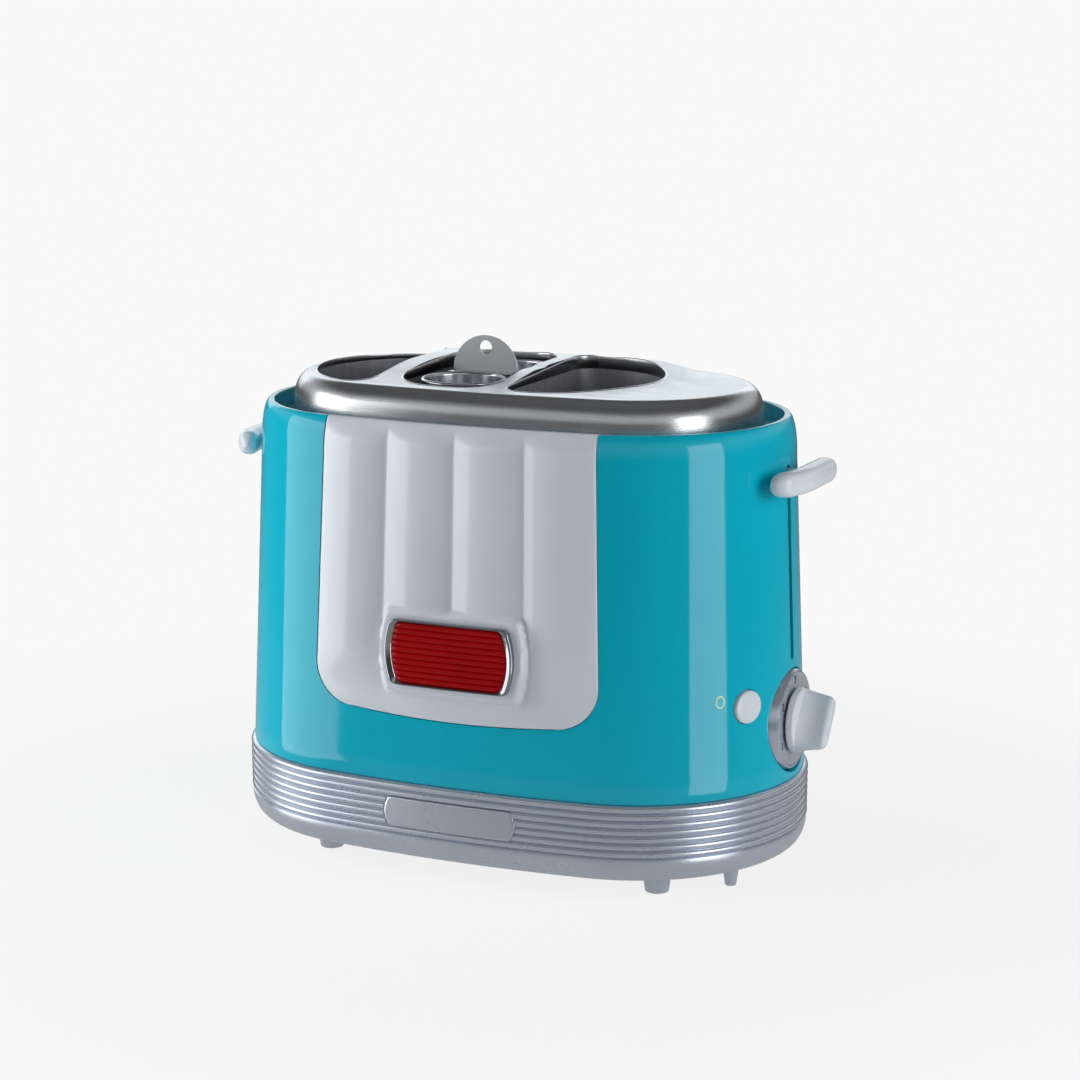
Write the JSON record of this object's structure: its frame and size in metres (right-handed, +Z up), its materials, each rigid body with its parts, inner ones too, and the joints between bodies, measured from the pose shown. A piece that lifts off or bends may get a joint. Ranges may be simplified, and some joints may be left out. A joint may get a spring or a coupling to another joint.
{
  "type": "hot dog toaster",
  "caption": "Oval countertop toaster with bun wells, a lift-out sausage cage, a lever at each end, browning dial, stop button and crumb tray.",
  "frame": {"origin": "on the standing surface, under the centre of the oval shell", "axes": "+X along the length towards the dial, -Y the front with the white panel, +Z up"},
  "size_m": [0.3045, 0.1768, 0.245],
  "materials": {
    "teal_shell": "smooth gloss moulding",
    "white_gloss": "smooth gloss moulding",
    "badge_chrome": "bright plated frame",
    "badge_red": "ribbed clear red",
    "silver_paint": "silver painted moulding",
    "brushed_top": "brushed pressing",
    "polished_steel": "bright rolled sheet",
    "wire_steel": "drawn wire",
    "mica": "pressed mica board",
    "heater_alloy": "rolled heating ribbon",
    "plain_steel": "zinc plated sheet and rod",
    "dark_plastic": "moulded housing",
    "board_green": "circuit board",
    "black_rubber": "moulded rubber"
  },
  "bodies": {
    "housing": {"body_shell": "teal_shell", "front_panel": "white_gloss", "badge_frame": "badge_chrome", "badge_lens": "badge_red", "base_skirt": "silver_paint", "name_plate": "silver_paint", "base_plate": "plain_steel", "base_screws": "plain_steel", "top_cap": "brushed_top", "left_bun_chute": "polished_steel", "sausage_chute": "polished_steel", "right_bun_chute": "polished_steel", "left_bun_guard": "wire_steel", "right_bun_guard": "wire_steel", "heater_board_a": "mica", "heater_board_b": "mica", "heater_board_c": "mica", "heater_board_d": "mica", "heater_ribbons": "heater_alloy", "left_end_plate": "plain_steel", "right_end_plate": "plain_steel", "front_heat_shield": "plain_steel", "rear_heat_shield": "plain_steel", "left_rod_bracket": "plain_steel", "right_rod_bracket": "plain_steel", "left_guide_rod": "plain_steel", "right_guide_rod": "plain_steel", "left_return_spring": "wire_steel", "right_return_spring": "wire_steel", "latch_magnet": "dark_plastic", "dial_bezel": "silver_paint", "timer_control": "dark_plastic", "control_board": "board_green", "board_components": "dark_plastic", "board_standoffs": "plain_steel", "stop_switch": "board_green", "switch_bracket": "plain_steel", "cord_grommet": "black_rubber"},
    "carriage": {"left_slider": "plain_steel", "right_slider": "plain_steel", "carriage_frame": "plain_steel", "left_bun_carrier": "plain_steel", "sausage_carrier": "plain_steel", "right_bun_carrier": "plain_steel", "armature_plate": "plain_steel", "left_lever": "white_gloss", "right_lever": "white_gloss"},
    "cage": {"front_cage_tube": "polished_steel", "rear_cage_tube": "polished_steel", "cage_bridges": "polished_steel", "cage_tab": "polished_steel"},
    "dial": {"dial_shaft": "plain_steel", "timer_knob": "white_gloss"},
    "button": {"stop_button": "white_gloss"},
    "tray": {"crumb_tray": "plain_steel", "tray_front": "silver_paint"}
  },
  "joints": [
    {"name": "carriage_slide", "type": "slide", "parent": "housing", "child": "carriage", "axis": [0, 0, 1], "range_m": [-0.082, 0], "stiffness_N_per_m": 100, "springref_m": 0.08, "deforming": ["left_return_spring", "right_return_spring"]},
    {"name": "cage_lift", "type": "slide", "parent": "carriage", "child": "cage", "axis": [0, 0, 1], "range_m": [0, 0.098]},
    {"name": "dial_turn", "type": "hinge", "parent": "housing", "child": "dial", "pos_m": [0.13, 0, 0.0735], "axis": [-1, 0, 0], "range_deg": [0, 265]},
    {"name": "stop_press", "type": "slide", "parent": "housing", "child": "button", "axis": [-0.887, 0.4617, 0], "range_m": [0, 0.0025], "stiffness_N_per_m": 800},
    {"name": "tray_pull", "type": "slide", "parent": "housing", "child": "tray", "axis": [0, 1, 0], "range_m": [0, 0.12]}
  ]
}
